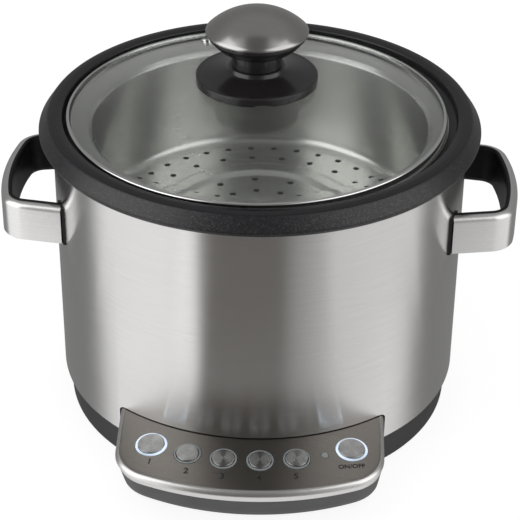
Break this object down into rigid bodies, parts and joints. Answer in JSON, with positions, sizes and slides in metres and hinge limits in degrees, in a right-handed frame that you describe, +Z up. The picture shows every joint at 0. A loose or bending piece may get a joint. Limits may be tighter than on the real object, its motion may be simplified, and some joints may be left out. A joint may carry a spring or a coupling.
{
  "type": "multicooker",
  "caption": "Countertop multicooker with a steel drum, front control panel, loop handles, lift-out bowl, perforated steamer tray and domed glass lid.",
  "frame": {"origin": "on the table under the middle of the cooker's outline; the drum's axis stands 18.7 mm behind it because the control panel reaches forward", "axes": "+Z up along the drum's axis, -Y towards the user at the control panel, +X to the user's right along the line through both handles"},
  "size_m": [0.3374, 0.321, 0.2782],
  "materials": {
    "brushed_steel": "sheet brushed round the drum",
    "panel_steel": "satin sheet with a bright rolled edge",
    "button_metal": "turned, brushed in circles",
    "knob_steel": "satin pressed cap",
    "tray_steel": "bright pressed sheet, spun lines on the wall",
    "band_steel": "polished",
    "spring_steel": "plated wire and screws",
    "well_aluminium": "plain thin sheet",
    "plate_aluminium": "cast, turned on top",
    "speckled_coating": "black enamel with fine pale speckles",
    "plinth_plastic": "fine moulded grain",
    "black_plastic": "moulded, satin gloss",
    "black_rubber": "soft, matt",
    "circuit_board": "coated board",
    "lit_ring": "milky light guide, lit",
    "clear_ring": "milky light guide, unlit",
    "lamp_lens": "clear lens",
    "lid_glass": "clear tempered glass"
  },
  "bodies": {
    "base": {"base_plinth": "plinth_plastic", "outer_shell": "brushed_steel", "top_collar": "black_plastic", "well_liner": "well_aluminium", "hotplate": "plate_aluminium", "sensor_holder": "black_plastic", "sensor_spring": "spring_steel", "power_inlet": "black_plastic", "fascia": "panel_steel", "control_board": "circuit_board", "indicator_lens": "lamp_lens", "light_ring_1": "lit_ring", "light_ring_2": "clear_ring", "light_ring_3": "clear_ring", "light_ring_4": "clear_ring", "light_ring_5": "clear_ring", "light_ring_start": "lit_ring", "handle_shell_left": "brushed_steel", "handle_shell_right": "brushed_steel", "handle_grip_left": "black_plastic", "handle_grip_right": "black_plastic", "handle_gasket_left_back": "black_rubber", "handle_gasket_left_front": "black_rubber", "handle_gasket_right_back": "black_rubber", "handle_gasket_right_front": "black_rubber", "handle_screw_left_back": "spring_steel", "handle_screw_left_front": "spring_steel", "handle_screw_right_back": "spring_steel", "handle_screw_right_front": "spring_steel", "foot_back_left": "black_rubber", "foot_back_right": "black_rubber", "foot_front_left": "black_rubber", "foot_front_right": "black_rubber", "foot_screw_back_left": "spring_steel", "foot_screw_back_right": "spring_steel", "foot_screw_front_left": "spring_steel", "foot_screw_front_right": "spring_steel"},
    "sensor": {"sensor_cap": "plate_aluminium"},
    "bowl": {"cooking_bowl": "speckled_coating"},
    "tray": {"steamer_tray": "tray_steel"},
    "lid": {"lid_glass": "lid_glass", "lid_band": "band_steel", "lid_vent": "band_steel", "knob_base": "black_plastic", "knob_grip": "black_plastic", "knob_cap": "knob_steel", "knob_screw": "spring_steel", "knob_washer": "black_rubber"},
    "button_a": {"button_1": "button_metal"},
    "button_b": {"button_2": "button_metal"},
    "button_c": {"button_3": "button_metal"},
    "button_d": {"button_4": "button_metal"},
    "button_e": {"button_5": "button_metal"},
    "button_f": {"button_start": "button_metal"}
  },
  "joints": [
    {"name": "sensor_press", "type": "slide", "parent": "base", "child": "sensor", "axis": [0, 0, 1], "range_m": [-0.003, 0], "stiffness_N_per_m": 400, "springref_m": 0.001, "deforming": ["sensor_spring"]},
    {"name": "bowl_lift", "type": "slide", "parent": "base", "child": "bowl", "axis": [0, 0, 1], "range_m": [0, 0.25]},
    {"name": "tray_lift", "type": "slide", "parent": "bowl", "child": "tray", "axis": [0, 0, 1], "range_m": [0, 0.2]},
    {"name": "lid_lift", "type": "slide", "parent": "tray", "child": "lid", "axis": [0, 0, 1], "range_m": [0, 0.2]},
    {"name": "button_1_press", "type": "slide", "parent": "base", "child": "button_a", "axis": [-0.0564, -0.1267, 0.9903], "range_m": [-0.0008, 0], "stiffness_N_per_m": 600, "springref_m": 0.0005},
    {"name": "button_2_press", "type": "slide", "parent": "base", "child": "button_b", "axis": [-0.0352, -0.1341, 0.9903], "range_m": [-0.0008, 0], "stiffness_N_per_m": 600, "springref_m": 0.0005},
    {"name": "button_3_press", "type": "slide", "parent": "base", "child": "button_c", "axis": [-0.0145, -0.1379, 0.9903], "range_m": [-0.0008, 0], "stiffness_N_per_m": 600, "springref_m": 0.0005},
    {"name": "button_4_press", "type": "slide", "parent": "base", "child": "button_d", "axis": [0.0063, -0.1385, 0.9903], "range_m": [-0.0008, 0], "stiffness_N_per_m": 600, "springref_m": 0.0005},
    {"name": "button_5_press", "type": "slide", "parent": "base", "child": "button_e", "axis": [0.027, -0.136, 0.9903], "range_m": [-0.0008, 0], "stiffness_N_per_m": 600, "springref_m": 0.0005},
    {"name": "button_start_press", "type": "slide", "parent": "base", "child": "button_f", "axis": [0.0582, -0.1259, 0.9903], "range_m": [-0.0008, 0], "stiffness_N_per_m": 600, "springref_m": 0.0005}
  ]
}
